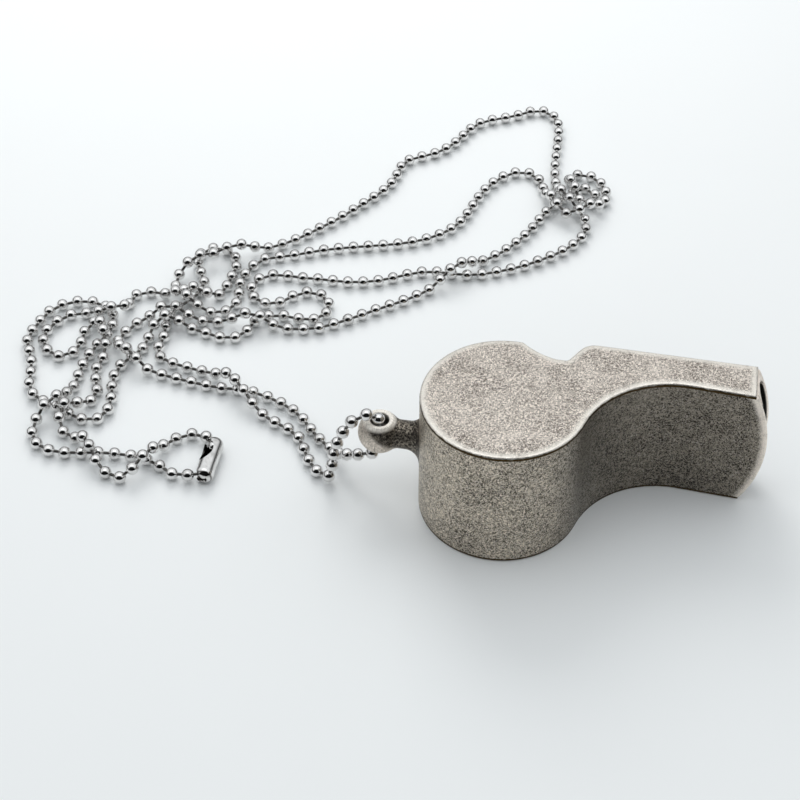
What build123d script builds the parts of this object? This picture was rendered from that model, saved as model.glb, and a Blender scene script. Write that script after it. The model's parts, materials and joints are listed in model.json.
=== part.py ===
"""Pea whistle of bent and soldered sheet metal, carried on a ball chain.

The whistle lies on one side. The origin is on the axis of its round chamber, at the resting face.
+X points to the mouthpiece, +Y to the roof and the window, +Z up across the whistle's width.
All lengths are millimetres, all angles degrees.
"""
import math
import os

from build123d import *

# Body of the whistle
DRUM_R = 12.15  # outside of the round chamber
BODY_WIDTH = 21.6  # over both side plates
PLATE_T = 0.6  # sheet of a side plate
PLATE_EDGE_R = 0.4  # rounding of a side plate's outer edge
EDGE_SHARE = 0.8  # most of a sheet's thickness that a rounding may take
STRIP_T = 1.0  # sheet of the chamber wall and the underside
ROOF_T = 1.0  # sheet of the mouthpiece roof
ROOF_RISE = 1.25  # front of the roof above the top of the chamber
ROOF_FALL = 0.55  # fall of the roof from its front to the mouth end
MOUTH_REACH = 37.95  # chamber axis to the middle of the mouth end
MOUTH_BULGE = 2.75  # middle of the mouth end beyond its corners
MOUTH_HEIGHT = 6.65  # roof to underside at the mouth end
MOUTH_EDGE_R = 0.4  # rounding of the sheets' edges at the mouth end
UNDERSIDE_RISE = 3.8  # angle at which the underside climbs towards the chamber
THROAT_R = 14.0  # hollow curve between chamber and underside

# Window in the roof side
LIP_X = 6.3  # chamber axis to the edge of the sounding lip
LIP_DROP = 2.8  # top of the chamber down to the lip's edge
RAMP_RUN = 5.15  # length of the ramp up to the lip's edge
RAMP_SAG = 0.4  # hollow of the ramp
RAMP_BLEND_R = 1.0  # rounding where the ramp leaves the chamber
WINDOW_GAP = 1.65  # lip's edge to the foot of the roof's front
FRONT_RUN = 2.35  # length that the roof's front takes to rise to the roof
FRONT_BLEND_R = 2.8  # rounding where the roof turns down to its front
NOTCH_R = 0.6  # rounding at the foot of the window in the side plates

# Windway floor
FLOOR_T = 0.8
FLOOR_SET_IN = 2.2  # from the mouth's corners in to the floor's edge
FLOOR_SETBACK = 0.5  # from the foot of the roof's front in to the floor's end
SLIT = 1.2  # height of the air slit under the roof's front

# Cheeks that round the ends of the mouth
CHEEK_T = 2.3  # side plate to the middle of a cheek's hollow
CHEEK_SET_IN = 2.1  # from the mouth's corners in to a cheek's back

# Lanyard eye
EYE_R = 3.25  # ball of the eye
EYE_REACH = 6.15  # chamber wall to the ball's centre
EYE_Y = 0.7  # eye above the chamber's axis, towards the roof
EYE_NECK_R = 2.15
EYE_NECK_BLEND_R = 1.5  # hollow curve from ball to neck
EYE_FLARE_R = 2.3  # hollow curve from neck to chamber wall
EYE_FLAT = 0.7  # ball faced off at each end of its hole
EYE_CLEARANCE = 0.4  # chain ball in the eye's hole
EYE_RIM_R = 0.25  # rounded rim of the hole
SHANK_R = 1.2  # shank through the chamber wall
SHANK_FIT = 0.03

# Cork pea
PEA_R = 5.2
PEA_CLEARANCE = 1.6  # pea to chamber wall, so that it passes the lip
PEA_LIFT = 0.15  # pea above the lower side plate
PEA_ANGLE = 235.0  # where the pea lies round the chamber

# Ball chain
BALL_D = 2.0
BALL_PITCH = 2.584  # ball to ball along the chain
LINK_D = 0.5
LINK_PLAY = 0.02  # end of a link to its ball
CROSSING_GAP = 0.15  # air between two runs where one lies over the other
CURVE_STEPS = 40  # points measured on each bend of the chain's curve
CHAIN_NODE_COUNT = 6  # lengths that the chain is divided into

# Coupling that clips on the chain's two end balls
COUPLING_CLEARANCE = 0.1  # end ball in the bore
COUPLING_WALL = 0.35
COUPLING_REACH = 1.35  # end ball's centre to the coupling's end
COUPLING_END_HOLE_R = 0.65
COUPLING_SLIT = 1.56
COUPLING_SLIT_LAP = 0.5  # how far the slit runs into each end of the mouth
COUPLING_MOUTH_LENGTH = 4.4
COUPLING_MOUTH_WIDTH = 2.4
COUPLING_MOUTH_SHIFT = 1.1  # mouth's middle beyond the coupling's middle
COUPLING_ROLL = 5.0  # how far the slit is turned up from level
COUPLING_MOUTH_TURN = 45.0  # mouth turned up from the slit
COUPLING_DOME_R = 1.2  # rounding of the coupling's ends

# Heights at which the chain lies
FLOOR_Z = BALL_D / 2
OVER_Z = FLOOR_Z + BALL_D + CROSSING_GAP
COUPLING_R = BALL_D / 2 + COUPLING_CLEARANCE + COUPLING_WALL

# Route of the chain, chosen by hand along the photographed loops: x and y, and z where it isn't lying
LOW_LEFT_RUN = [
    (-44.55, -3.65, COUPLING_R), (-46.9, -4.5, 1.4), (-49.5, -4.5), (-51.9, -2.8), (-54.8, -1.7),
    (-58.5, -1.6), (-62, -1.8), (-65.2, -2.6), (-68.5, -3), (-71.3, -2.3), (-73.2, -0.2), (-73.6, 2.5),
    (-72.6, 5, OVER_Z), (-70.7, 7.6, OVER_Z), (-70, 10.2), (-70, 13), (-70.2, 16), (-69.9, 19),
    (-69.2, 22), (-68, 25), (-68.2, 28),
]
OUTER_RING = [
    (-69.6, 30.6), (-72, 31.8), (-75, 31.8), (-77.6, 30.6), (-79.6, 28.4), (-80.2, 25.8), (-80.9, 23),
    (-80.9, 20.5), (-79.6, 18.2), (-78.5, 16), (-77.8, 13.6), (-77.4, 11.2), (-76.2, 9), (-74.4, 7.5),
    (-72.4, 7.4), (-70.3, 6.2), (-68, 5), (-65.6, 4.4), (-63.6, 5.4), (-63, 7.8), (-63.4, 10.4),
    (-64.1, 13), (-64.5, 15.6), (-64, 18.2), (-62.8, 20.2),
]
MIDDLE_S = [
    (-61.7, 21.6), (-61.4, 24), (-61.5, 26.3), (-60.6, 27.7, OVER_Z), (-58.6, 29, OVER_Z), (-56, 28.4),
    (-53.8, 28), (-51.6, 27.3), (-49.2, 26.8), (-47, 27.5), (-45.8, 29.2), (-46, 30.8), (-44.8, 32.4),
    (-43.2, 33.7), (-41, 34.1), (-38.6, 33.7), (-36.2, 33.65), (-34.4, 34.75), (-33.7, 36.8),
    (-34.3, 39.1), (-36.1, 40.6), (-38.3, 40.7), (-40.2, 39.5), (-41.5, 37.7), (-43.2, 36.4),
    (-45.5, 36.5), (-47.3, 38.1), (-47.9, 40.4), (-47.2, 42.5), (-45.5, 43.9), (-43, 44.2), (-40, 44),
    (-36.5, 44.3), (-33, 44.2), (-29.5, 44.7), (-26, 46), (-22.8, 47.9), (-20, 49.3), (-17, 49.7),
    (-14, 49.5), (-11, 49.9), (-7.5, 51.4), (-4, 53.3), (-1, 55.5), (2, 58), (4.6, 60.9), (6.2, 64.3),
    (6.2, 67.5), (4.8, 69.9), (2.3, 71.8, OVER_Z), (0.5, 73.6, OVER_Z),
]
FAR_LOOP = [
    (-0.2, 76.2), (-0.9, 79.5), (-1.2, 82.5), (-1.4, 85.5), (-1.5, 89), (-1.7, 93), (-2.2, 96.5),
    (-3.6, 98.9), (-5.6, 99.8), (-7.8, 99.2), (-10, 97.4), (-12.6, 96), (-15.4, 94.8), (-17.6, 92.8),
    (-18.9, 89.8), (-20.3, 86.6), (-22.4, 83.6), (-25, 81.8), (-27.4, 80.6), (-28.8, 78.6),
    (-29.1, 75.6), (-29.7, 72.2), (-31.4, 69), (-33.6, 65.8), (-35.8, 62.6), (-38, 59.7), (-40.4, 57),
    (-42.8, 54.2), (-45.5, 51.9), (-48.4, 50.2), (-50.9, 48.9, OVER_Z), (-54.2, 47, OVER_Z),
    (-55.6, 46.2, 2.2), (-57, 45.2, OVER_Z), (-59.4, 42.7, OVER_Z), (-60.9, 40), (-60.6, 37.9),
]
MIDDLE_LOOPS = [
    (-59, 36.9), (-57.6, 36.4, OVER_Z), (-55.2, 35.7, OVER_Z), (-52.9, 36.5), (-52, 38.9),
    (-51.9, 41.4), (-51.5, 44), (-51.8, 46.6), (-53.4, 48.8), (-55.5, 49.4), (-57.6, 48.8),
    (-58.8, 46.9), (-58.3, 44.4), (-57, 42), (-55.8, 39.8), (-55.9, 37.6), (-56.9, 35.5), (-58, 34.1),
    (-58.9, 32.6),
]
EYE_STRAND_A = [
    (-59.4, 31), (-59.5, 28.8), (-59.3, 26.8), (-58.9, 25), (-59.3, 23.2), (-58.9, 21), (-57, 19.8),
    (-54.2, 19.2), (-51.4, 18.7), (-48.6, 18.2), (-46, 17.1, OVER_Z), (-42.8, 13.8, OVER_Z),
    (-39.6, 10.9), (-36.6, 9.2), (-34, 8.2), (-32.1, 6.7), (-30.8, 4), (-29.4, 1.6), (-27.6, -0.3),
    (-26, -0.9), (-25.4, -0.9, 3), (-25.2, -1, 5.5), (-24.7, -1.1, 8.2), (-23.7, -1.1, 11.2),
    (-22.2, -0.9, 13.9), (-20.2, -0.4, 15.1), (-18.5, 0.5, 14.3), (-18.3, 0.7, 12),
]
EYE_STRAND_B = [
    (-18.3, 0.7, 9.5), (-18.4, 0.7, 7.2), (-19.6, 0.7, 5.8), (-21.8, 1, 4.9), (-24.2, 2.4, 3.1),
    (-26, 4.2, 1.4), (-27.6, 5.8), (-29.4, 7.2), (-31, 9), (-32.4, 10.8), (-34.4, 12.5), (-37, 13.9),
    (-40, 15), (-43.2, 15.6), (-46.4, 15.3), (-49.5, 15.5), (-53, 16), (-56.5, 16.6), (-59.5, 17.1),
    (-61.9, 18.3, OVER_Z), (-64.3, 20.2, OVER_Z), (-66, 22), (-66.2, 24), (-65.3, 26.2), (-64, 28.4),
    (-62.5, 30.1),
]
LONG_RUN = [
    (-60.7, 30.9, OVER_Z), (-57.9, 31, OVER_Z), (-55.2, 30.4), (-52.4, 30.3), (-49.8, 30.8),
    (-47.5, 31.1, OVER_Z), (-44.5, 31.5, OVER_Z), (-42, 31.2), (-39.4, 30.9), (-36.8, 31.3),
    (-34.1, 32.2), (-31.6, 33.9), (-28.8, 36), (-25.8, 38.4), (-22.6, 40.7), (-19.6, 43.2),
    (-17.4, 45.6), (-15.6, 47.8, OVER_Z), (-13, 51, OVER_Z), (-11, 53.2), (-8.6, 55.4), (-6.4, 58),
    (-4.6, 61), (-3, 64.3), (-1.8, 68),
]
KNOT = [
    (-0.5, 70.9), (1.1, 72.8), (2.4, 75.2), (4, 77.3), (6.2, 77), (7.1, 75), (6.3, 72.9), (4.6, 72.4),
    (3.5, 73.7, OVER_Z), (2.1, 76.9, OVER_Z), (1.6, 78.9), (2.2, 80.4), (3.8, 81.4), (5.8, 80.9),
    (7.7, 79.2), (9, 76), (8.5, 72.8), (6.6, 70.8, OVER_Z), (4.6, 68.2, OVER_Z), (2.5, 67.6, 1.9),
    (0.5, 69.3, OVER_Z), (-0.9, 71.9, OVER_Z), (-2.2, 74.3),
]
BACK_RUN = [
    (-2.9, 77), (-4.2, 79.3), (-6.2, 80.2), (-8.4, 79.7), (-10.4, 77.9), (-12, 75.5), (-13.3, 72.6),
    (-14.2, 69.2), (-15, 65.6), (-16.4, 62.3), (-18.7, 59.6), (-21.8, 57.4), (-25.2, 55.9),
    (-28.8, 54.8), (-32.4, 53.8), (-35.8, 52.7), (-39, 51.5), (-42, 49.9), (-44.8, 48.8), (-47.2, 48),
    (-48.6, 46.5),
]
UPPER_LEFT = [
    (-49.2, 44.4), (-50, 42.2), (-49.9, 39.9), (-49.3, 37.5), (-49.3, 35.2), (-50.4, 33.4),
    (-52.4, 32.5), (-54.6, 33), (-56.6, 33.6, OVER_Z), (-59.2, 35, OVER_Z), (-61.6, 35.7), (-64, 36.1),
    (-66, 35.5), (-67.1, 33.7), (-66.9, 31.6), (-66.9, 29.8, OVER_Z), (-69.8, 28.3, OVER_Z),
]
INNER_RING = [
    (-72, 28.9), (-74.2, 28.8), (-76.2, 27.8), (-77.7, 25.8), (-78.6, 23.4), (-78.3, 21), (-77, 19),
    (-75, 17.8), (-73.2, 18.2), (-72.1, 20), (-71.9, 22.3), (-72.3, 24.6), (-71.8, 26.4),
    (-70.3, 26.7, 1.9), (-69.5, 25, OVER_Z), (-67.9, 22.3, OVER_Z), (-67.2, 20.2),
]
TO_COUPLING = [
    (-67.4, 18.5), (-67.8, 16), (-67, 13.6), (-66, 11.4), (-66, 9.3), (-67.2, 7.7),
    (-68.9, 6.6, OVER_Z), (-69.9, 4.4, OVER_Z), (-69.4, 2.2), (-67.8, 0.8), (-66, 0.4),
    (-64.4, -0.6, OVER_Z), (-62.6, -2.9, OVER_Z), (-60.8, -5), (-58.6, -6.4), (-56.2, -6.4),
    (-54.8, -4.9, OVER_Z), (-53.4, -1.2, OVER_Z), (-52.2, 1.3), (-50.7, 3.5), (-48.8, 4.6),
    (-46.3, 4.5, 1.4), (-44.55, 2.1, COUPLING_R),
]
ROUTE = (
    LOW_LEFT_RUN + OUTER_RING + MIDDLE_S + FAR_LOOP + MIDDLE_LOOPS + EYE_STRAND_A + EYE_STRAND_B
    + LONG_RUN + KNOT + BACK_RUN + UPPER_LEFT + INNER_RING + TO_COUPLING
)

# Points of the side outline
ROOF_Y = DRUM_R + ROOF_RISE
MOUTH_Y = ROOF_Y - ROOF_FALL
MID_Z = BODY_WIDTH / 2
INNER_WIDTH = BODY_WIDTH - 2 * PLATE_T
PLATE_END_X = MOUTH_REACH - MOUTH_BULGE
BULGE_R = (MID_Z**2 + MOUTH_BULGE**2) / (2 * MOUTH_BULGE)
BULGE_X = MOUTH_REACH - BULGE_R
TRIM = STRIP_T + ROOF_T  # spare length that the mouth end is trimmed from
UNDERSIDE_ANGLE = math.radians(UNDERSIDE_RISE)
ALONG = Vector(-math.cos(UNDERSIDE_ANGLE), math.sin(UNDERSIDE_ANGLE))
DOWN = Vector(-math.sin(UNDERSIDE_ANGLE), -math.cos(UNDERSIDE_ANGLE))
UNDERSIDE_END = Vector(MOUTH_REACH, MOUTH_Y - MOUTH_HEIGHT)
LIP = Vector(LIP_X, DRUM_R - LIP_DROP)
RAMP_X = LIP_X - RAMP_RUN
RAMP_TOP = Vector(RAMP_X, math.sqrt(DRUM_R**2 - RAMP_X**2))
RAMP_MIDDLE = (LIP + RAMP_TOP) * 0.5 - (LIP - RAMP_TOP).rotate(Axis.Z, 90).normalized() * RAMP_SAG
FRONT_FOOT = Vector(LIP_X + WINDOW_GAP, LIP.Y)
FRONT_TOP = Vector(FRONT_FOOT.X + FRONT_RUN, ROOF_Y)


def underside_point(x):
    """Point of the underside at a distance x from the chamber's axis."""
    return UNDERSIDE_END + ALONG * ((MOUTH_REACH - x) / math.cos(UNDERSIDE_ANGLE))


def roof_point(x):
    """Point of the roof at a distance x from the chamber's axis."""
    return FRONT_TOP + (Vector(MOUTH_REACH, MOUTH_Y) - FRONT_TOP) * ((x - FRONT_TOP.X) / (MOUTH_REACH - FRONT_TOP.X))


def throat_centre():
    """Centre of the hollow curve that touches both the chamber and the underside."""
    start = UNDERSIDE_END + DOWN * THROAT_R
    reach = DRUM_R + THROAT_R
    half = start.dot(ALONG)
    return start + ALONG * (-half - math.sqrt(half**2 - start.dot(start) + reach**2))


THROAT = throat_centre()
THROAT_AT_DRUM = THROAT.normalized() * DRUM_R
THROAT_AT_UNDERSIDE = THROAT - DOWN * THROAT_R
THROAT_MIDDLE = THROAT + (THROAT_AT_DRUM + THROAT_AT_UNDERSIDE - THROAT * 2).normalized() * THROAT_R


def wall_path(end_x):
    """Outside of the bent strip: ramp, chamber, throat and underside."""
    return [
        ThreePointArc(LIP, RAMP_MIDDLE, RAMP_TOP),
        ThreePointArc(RAMP_TOP, (-DRUM_R, 0), THROAT_AT_DRUM),
        ThreePointArc(THROAT_AT_DRUM, THROAT_MIDDLE, THROAT_AT_UNDERSIDE),
        Line(THROAT_AT_UNDERSIDE, underside_point(end_x)),
    ]


def rounded(face, point, radius):
    """The face with its corner nearest to a point rounded."""
    return fillet(face.vertices().sort_by_distance(point)[0], radius)


def sheet(path, thickness, side):
    """Section of a bent sheet that lies on one side of a path."""
    return Sketch() + make_face(Wire(path).offset_2d(thickness, side=side, kind=Kind.INTERSECTION))


def across(section):
    """A section carried across the whistle between its side plates."""
    return Pos(0, 0, PLATE_T) * extrude(section, INNER_WIDTH)


def cut_to_bulge(solid):
    """A solid cut to the bulged mouth end."""
    block = Pos(PLATE_END_X, 0, 0) * Box(
        2 * (MOUTH_BULGE + TRIM), 2 * (ROOF_Y + TRIM), BODY_WIDTH,
        align=(Align.MIN, Align.CENTER, Align.MIN),
    )
    bulge = Pos(BULGE_X, 0, MID_Z) * Rot(X=90) * Cylinder(BULGE_R, 4 * ROOF_Y)
    return solid - (block - bulge)


def trimmed_at_mouth(sheet_solid, thickness):
    """A sheet cut to the bulged mouth end, with the edges of the cut rounded."""
    solid = cut_to_bulge(sheet_solid)
    rims = [e for e in solid.edges() if e.length > MID_Z and math.isclose(
        math.hypot((e @ 0.5).X - BULGE_X, (e @ 0.5).Z - MID_Z), BULGE_R)]
    return fillet(rims, min(MOUTH_EDGE_R, EDGE_SHARE * thickness / 2))


def make_side_plate():
    """Upper side plate, with its outer edge rounded."""
    corner_top = roof_point(PLATE_END_X)
    corner_low = underside_point(PLATE_END_X)
    outline = wall_path(PLATE_END_X) + [
        Line(corner_low, corner_top),
        Line(corner_top, FRONT_TOP),
        Line(FRONT_TOP, FRONT_FOOT),
        Line(FRONT_FOOT, LIP),
    ]
    face = Sketch() + make_face(Wire(outline))
    face = rounded(face, RAMP_TOP, RAMP_BLEND_R)
    face = rounded(face, FRONT_TOP, FRONT_BLEND_R)
    face = rounded(face, FRONT_FOOT, NOTCH_R)
    face = rounded(face, LIP, NOTCH_R)
    plate = Pos(0, 0, BODY_WIDTH - PLATE_T) * extrude(face, PLATE_T)
    return fillet(plate.faces().sort_by(Axis.Z)[-1].edges(), min(PLATE_EDGE_R, EDGE_SHARE * PLATE_T))


def eye_shank(radius):
    """Bar on the eye's axis through the chamber wall."""
    return Pos(-DRUM_R, EYE_Y, MID_Z) * Rot(Y=90) * Cylinder(radius, 4 * STRIP_T)


def make_barrel_strip():
    """Bent strip: sounding lip, chamber wall, throat and underside, with the hole for the eye's shank."""
    section = sheet(wall_path(MOUTH_REACH + TRIM), STRIP_T, Side.LEFT)
    section = rounded(section, RAMP_TOP, RAMP_BLEND_R)
    return trimmed_at_mouth(across(section), STRIP_T) - eye_shank(SHANK_R + SHANK_FIT)


def make_mouthpiece_roof():
    """Flat roof with its front bent down to the window."""
    path = [Line(FRONT_FOOT, FRONT_TOP), Line(FRONT_TOP, roof_point(MOUTH_REACH + TRIM))]
    section = sheet(path, ROOF_T, Side.RIGHT)
    section = rounded(section, FRONT_TOP, FRONT_BLEND_R)
    return trimmed_at_mouth(across(section), ROOF_T)


def make_mouth_cheek():
    """Upper block between roof and underside whose hollow rounds the end of the mouth."""
    back = PLATE_END_X - CHEEK_SET_IN
    along = (roof_point(MOUTH_REACH) - FRONT_TOP).normalized()
    under_roof = [roof_point(x) + along.rotate(Axis.Z, -90) * ROOF_T for x in (back, MOUTH_REACH + TRIM)]
    on_underside = [underside_point(x) - DOWN * STRIP_T for x in (MOUTH_REACH + TRIM, back)]
    side = make_face(Polyline(*under_roof, *on_underside, close=True))
    inside_z = BODY_WIDTH - PLATE_T
    block = Pos(0, 0, inside_z - CHEEK_T) * extrude(side, CHEEK_T)
    middle = (under_roof[0] + on_underside[1]) * 0.5
    hollow_r = (under_roof[0] - on_underside[1]).length / 2
    hollow = Pos(middle.X, middle.Y, inside_z - CHEEK_T) * Rot(Y=90) * Cylinder(hollow_r, 4 * MOUTH_BULGE + 4 * TRIM)
    return cut_to_bulge(block - hollow)


def make_windway_floor():
    """Plate that lies on the underside and the throat, then runs free to the slit at the roof's front."""
    front = (FRONT_TOP - FRONT_FOOT).normalized()
    front_tip_y = FRONT_FOOT.Y - ROOF_T * front.X
    seat = -DOWN * STRIP_T
    start = underside_point(PLATE_END_X - FLOOR_SET_IN) + seat
    bend = THROAT_AT_UNDERSIDE + seat
    end = Vector(FRONT_FOOT.X + FLOOR_SETBACK, front_tip_y - SLIT - FLOOR_T)
    seat_r = THROAT_R + STRIP_T
    turn = math.degrees(math.acos(seat_r / (end - THROAT).length))
    leave = THROAT + (end - THROAT).normalized().rotate(Axis.Z, -turn) * seat_r
    middle = THROAT + (bend + leave - THROAT * 2).normalized() * seat_r
    path = [Line(start, bend), ThreePointArc(bend, middle, leave), Line(leave, end)]
    return across(sheet(path, FLOOR_T, Side.RIGHT))


def make_lanyard_eye():
    """Drilled ball on a neck that flares to the chamber wall, with a shank through it."""
    centre = Pos(-(DRUM_R + EYE_REACH), EYE_Y, MID_Z)
    chamber = Pos(0, 0, MID_Z) * Cylinder(DRUM_R, INNER_WIDTH)
    hollow = Pos(0, 0, MID_Z) * Cylinder(DRUM_R - STRIP_T, INNER_WIDTH)
    neck = centre * Rot(Y=90) * Cylinder(
        EYE_NECK_R, DRUM_R + EYE_REACH, align=(Align.CENTER, Align.CENTER, Align.MIN)
    )
    stem = neck + chamber
    curved = stem.edges().filter_by(GeomType.LINE, reverse=True)
    foot = curved.sort_by_distance((-DRUM_R, EYE_Y, MID_Z))[0]
    stem = fillet(foot, EYE_FLARE_R) - chamber
    ball = centre * Sphere(EYE_R)
    eye = stem + ball
    waist_x = math.sqrt(EYE_R**2 - EYE_NECK_R**2) - DRUM_R - EYE_REACH
    waist = eye.edges().sort_by_distance((waist_x, EYE_Y, MID_Z + EYE_NECK_R))[0]
    eye = fillet(waist, EYE_NECK_BLEND_R) + (eye_shank(SHANK_R) & chamber) - hollow
    hole_r = BALL_D / 2 + EYE_CLEARANCE
    beyond = Cylinder(2 * EYE_R, 4 * EYE_R) - Cylinder(2 * EYE_R, 2 * (EYE_R - EYE_FLAT))
    eye = eye - centre * beyond - centre * Cylinder(hole_r, 4 * EYE_R)
    rims = eye.edges().filter_by(GeomType.CIRCLE).filter_by(lambda e: math.isclose(e.radius, hole_r))
    return fillet(rims, EYE_RIM_R)


def make_pea():
    """Cork ball that lies loose in the chamber."""
    orbit = DRUM_R - STRIP_T - PEA_CLEARANCE - PEA_R
    angle = math.radians(PEA_ANGLE)
    height = PLATE_T + PEA_LIFT + PEA_R
    return Pos(orbit * math.cos(angle), orbit * math.sin(angle), height) * Sphere(PEA_R)


def make_coupling():
    """Slotted capsule that holds the chain's two end balls."""
    first = Vector(*ROUTE[0])
    last = Vector(*ROUTE[-1])
    length = abs(last.Y - first.Y) + 2 * COUPLING_REACH
    lying = Rot(X=90)
    outside = Cylinder(COUPLING_R, length)
    outside = fillet(outside.edges().filter_by(GeomType.CIRCLE), COUPLING_DOME_R)
    bore = Cylinder(COUPLING_R - COUPLING_WALL, length - 2 * COUPLING_WALL)
    bore = fillet(bore.edges().filter_by(GeomType.CIRCLE), COUPLING_DOME_R - COUPLING_WALL)
    shell = lying * (outside - bore - Cylinder(COUPLING_END_HOLE_R, 2 * length))
    half = COUPLING_MOUTH_LENGTH / 2
    for end, side in ((half - COUPLING_SLIT_LAP, Align.MIN), (COUPLING_SLIT_LAP - half, Align.MAX)):
        slit = Box(2 * COUPLING_R, length, COUPLING_SLIT, align=(Align.MAX, side, Align.CENTER))
        shell -= Pos(0, COUPLING_MOUTH_SHIFT + end, 0) * slit
    facing_out = Plane(origin=(0, COUPLING_MOUTH_SHIFT, 0), x_dir=(0, 1, 0), z_dir=(-1, 0, 0))
    mouth = facing_out * Ellipse(half, COUPLING_MOUTH_WIDTH / 2)
    shell -= Rot(Y=COUPLING_MOUTH_TURN) * extrude(mouth, 2 * COUPLING_R)
    return Pos((first + last) * 0.5) * Rot(Y=COUPLING_ROLL) * shell


def chain_curve():
    """Points along the smooth curve that the route's points guide."""
    guide = [Vector(q[0], q[1], q[2] if len(q) == 3 else FLOOR_Z) for q in ROUTE]
    points = [guide[0]]
    last = len(guide) - 2
    for i in range(1, last + 1):
        a = guide[0] if i == 1 else (guide[i - 1] + guide[i]) * 0.5
        c = guide[-1] if i == last else (guide[i] + guide[i + 1]) * 0.5
        for step in range(1, CURVE_STEPS + 1):
            t = step / CURVE_STEPS
            points.append(a * (1 - t) ** 2 + guide[i] * (2 * t * (1 - t)) + c * t**2)
    return points


def ball_centres(points):
    """Centres of the balls, evenly spaced along the chain from end to end."""
    at = [0.0]
    for a, b in zip(points, points[1:]):
        at.append(at[-1] + (b - a).length)
    gaps = round(at[-1] / BALL_PITCH)
    centres = []
    k = 0
    for i in range(gaps + 1):
        goal = at[-1] * i / gaps
        while k < len(at) - 2 and at[k + 1] < goal:
            k += 1
        share = (goal - at[k]) / (at[k + 1] - at[k])
        centres.append(points[k] + (points[k + 1] - points[k]) * share)
    return centres, at[-1]


def make_link(a, b):
    """Rod between two neighbouring balls."""
    direction = (b - a).normalized()
    length = (b - a).length - BALL_D - 2 * LINK_PLAY
    return Plane(origin=(a + b) * 0.5, z_dir=direction) * Cylinder(LINK_D / 2, length)


def chain_pieces():
    """Balls and links of the chain, in lengths."""
    centres, length = ball_centres(chain_curve())
    apart = min(
        (a - b).length - BALL_D for i, a in enumerate(centres) for b in centres[i + 2:]
    )
    print(f"chain {length:.1f} mm, {len(centres)} balls, least gap between other balls {apart:.2f} mm")
    links = list(zip(centres, centres[1:]))
    share = math.ceil(len(centres) / CHAIN_NODE_COUNT)
    pieces = {}
    for k in range(CHAIN_NODE_COUNT):
        part = slice(k * share, (k + 1) * share)
        balls = [Pos(c) * Sphere(BALL_D / 2) for c in centres[part]]
        rods = [make_link(a, b) for a, b in links[part]]
        pieces[f"chain_balls_{k + 1}"] = Compound(children=balls)
        pieces[f"chain_links_{k + 1}"] = Compound(children=rods)
    return pieces


def main():
    plate = make_side_plate()
    cheek = make_mouth_cheek()
    pieces = {
        "side_plate_upper": plate,
        "side_plate_lower": mirror(plate, Plane.XY.offset(MID_Z)),
        "barrel_strip": make_barrel_strip(),
        "mouthpiece_roof": make_mouthpiece_roof(),
        "windway_floor": make_windway_floor(),
        "mouth_cheek_upper": cheek,
        "mouth_cheek_lower": mirror(cheek, Plane.XY.offset(MID_Z)),
        "lanyard_eye": make_lanyard_eye(),
        "pea": make_pea(),
        "chain_coupling": make_coupling(),
        **chain_pieces(),
    }
    os.makedirs("parts", exist_ok=True)
    for name, piece in pieces.items():
        export_step(piece, f"parts/{name}.step")


if __name__ == "__main__":
    main()
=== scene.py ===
"""Looks of a metal pea whistle on a ball neck chain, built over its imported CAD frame."""

import json
import math

import bmesh
import bpy
from bpy.props import FloatProperty, FloatVectorProperty, IntProperty, PointerProperty
from mathutils import Matrix, Vector


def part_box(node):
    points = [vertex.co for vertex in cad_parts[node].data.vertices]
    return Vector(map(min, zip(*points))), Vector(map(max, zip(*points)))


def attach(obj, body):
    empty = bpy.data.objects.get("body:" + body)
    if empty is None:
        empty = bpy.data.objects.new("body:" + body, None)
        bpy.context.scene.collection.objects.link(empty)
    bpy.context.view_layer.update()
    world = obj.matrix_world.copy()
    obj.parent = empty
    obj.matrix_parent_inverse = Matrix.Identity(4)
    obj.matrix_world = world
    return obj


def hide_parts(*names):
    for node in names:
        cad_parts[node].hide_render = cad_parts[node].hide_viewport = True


bl_info = {
    "name": "Pea whistle on a ball chain",
    "version": (1, 0, 0),
    "blender": (4, 5, 0),
    "location": "View3D > Sidebar > Whistle",
    "description": "Dresses the packed whistle: plating, ball chain, cork pea and a plain stage",
    "category": "Object",
}

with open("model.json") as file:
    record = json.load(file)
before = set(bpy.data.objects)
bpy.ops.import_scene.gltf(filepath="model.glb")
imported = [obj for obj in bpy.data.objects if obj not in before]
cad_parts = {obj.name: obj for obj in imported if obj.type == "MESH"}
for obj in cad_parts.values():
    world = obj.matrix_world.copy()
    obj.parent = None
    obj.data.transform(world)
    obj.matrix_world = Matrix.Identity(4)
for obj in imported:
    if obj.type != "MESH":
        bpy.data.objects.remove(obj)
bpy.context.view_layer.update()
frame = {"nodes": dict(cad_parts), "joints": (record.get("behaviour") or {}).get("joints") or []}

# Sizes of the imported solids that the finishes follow
BODY_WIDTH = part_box("side_plate_upper")[1][2]
MIDDLE_Z = BODY_WIDTH / 2
PLATE_T = BODY_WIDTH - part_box("barrel_strip")[1][2]
EYE_PLACE = next(joint["pos_m"] for joint in frame["joints"] if joint["name"] == "chain_swing")
MOUTH_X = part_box("barrel_strip")[1][0]
WINDOW_X = 0.0085

# Middle plane of the windway (normal and distance from the origin), half its height,
# and how far from the body's middle its round ends begin
WINDWAY_UP, WINDWAY_AT = (0.0431, 0.9991, 0.0), 0.01115
WINDWAY_HALF = 0.0023
WINDWAY_ENDS = MIDDLE_Z - PLATE_T - WINDWAY_HALF
WINDWAY_END_FLAT = 1.2  # how much flatter than half circles its ends are

# Heights of the chain's middle: in the coupling, on the floor and over another run
COUPLING_R = 0.00145
FLOOR_Z = 0.001
OVER_Z = 0.00315

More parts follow.
